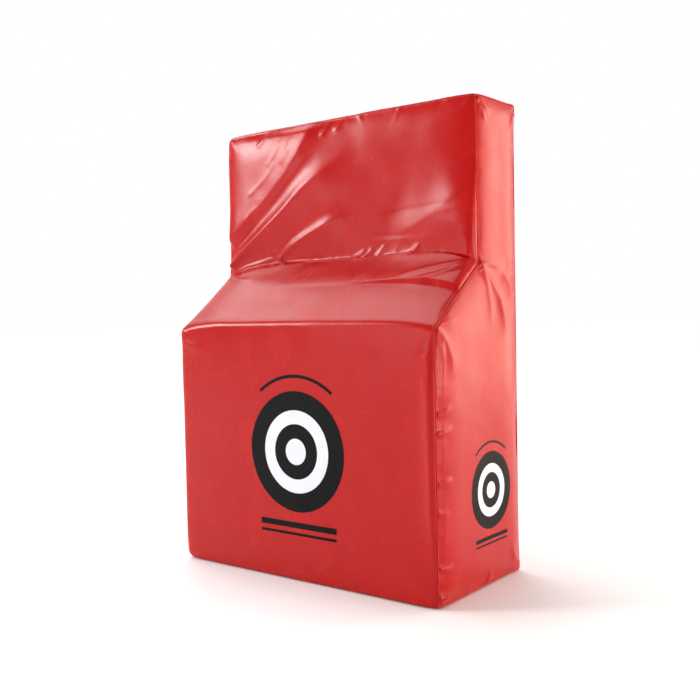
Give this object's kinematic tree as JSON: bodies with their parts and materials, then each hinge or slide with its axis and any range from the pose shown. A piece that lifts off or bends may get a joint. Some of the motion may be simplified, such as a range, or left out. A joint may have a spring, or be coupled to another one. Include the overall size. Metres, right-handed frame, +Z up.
{
  "type": "stepped foam strike shield",
  "caption": "Free-standing stepped foam strike shield in a zipped red vinyl cover, with a sloping shoulder in front and padded webbing handles behind.",
  "frame": {"origin": "centre of the base, on the surface that the shield stands on", "axes": "+Z up, from the base to the top; +Y to the back, where the handles are; +X to the right for someone facing the striking face"},
  "size_m": [0.5, 0.2971, 0.72],
  "materials": {
    "cover_vinyl": "red leather-grain PVC vinyl, satin gloss",
    "binding_tape": "black woven binding, matte",
    "soft_foam": "open-cell polyurethane foam, matte",
    "firm_foam": "bonded reconstituted foam, matte",
    "zip_tape": "black woven polyester, matte",
    "zip_coil": "black nylon, satin",
    "zip_metal": "nickel-plated zinc casting, satin",
    "webbing": "black polypropylene webbing, satin",
    "grip_foam": "closed-cell foam, matte",
    "grip_vinyl": "black leather-grain vinyl, satin",
    "eyelet_metal": "nickel-plated brass, polished"
  },
  "bodies": {
    "shield": {"front_panel": "cover_vinyl", "side_panel_left": "cover_vinyl", "side_panel_right": "cover_vinyl", "top_panel": "cover_vinyl", "base_panel": "cover_vinyl", "back_panel": "cover_vinyl", "back_hem_panel": "cover_vinyl", "seam_binding_left": "binding_tape", "seam_binding_right": "binding_tape", "core_back_slab": "soft_foam", "core_step_block": "soft_foam", "backing_board": "firm_foam", "zip_tape_upper": "zip_tape", "zip_tape_lower": "zip_tape", "zip_coil_upper": "zip_coil", "zip_coil_lower": "zip_coil", "zip_end_stops": "zip_metal", "zip_end_tabs": "cover_vinyl", "anchor_patches": "grip_vinyl", "anchor_backing_left": "webbing", "anchor_backing_right": "webbing", "vent_eyelets": "eyelet_metal", "eyelet_washers": "eyelet_metal"},
    "handle_left": {"handle_webbing_left": "webbing", "grip_foam_left": "grip_foam", "grip_sleeve_left": "grip_vinyl"},
    "handle_right": {"handle_webbing_right": "webbing", "grip_foam_right": "grip_foam", "grip_sleeve_right": "grip_vinyl"},
    "slider": {"zip_slider": "zip_metal"},
    "pull": {"zip_pull": "zip_metal"}
  },
  "joints": [
    {"name": "handle_left_swing", "type": "hinge", "parent": "shield", "child": "handle_left", "pos_m": [-0.125, 0.1225, 0.43], "axis": [0, 0, 1], "range_deg": [-30, 30], "stiffness_Nm_per_rad": 0.05, "deforming": ["handle_webbing_left"]},
    {"name": "handle_right_swing", "type": "hinge", "parent": "shield", "child": "handle_right", "pos_m": [0.125, 0.1225, 0.43], "axis": [0, 0, 1], "range_deg": [-30, 30], "stiffness_Nm_per_rad": 0.05, "deforming": ["handle_webbing_right"]},
    {"name": "zip_slide", "type": "slide", "parent": "shield", "child": "slider", "axis": [-1, 0, 0], "range_m": [0, 0.433]},
    {"name": "pull_swing", "type": "hinge", "parent": "slider", "child": "pull", "pos_m": [0.2165, 0.12395, 0.052], "axis": [0, 0, -1], "range_deg": [0, 175]}
  ]
}
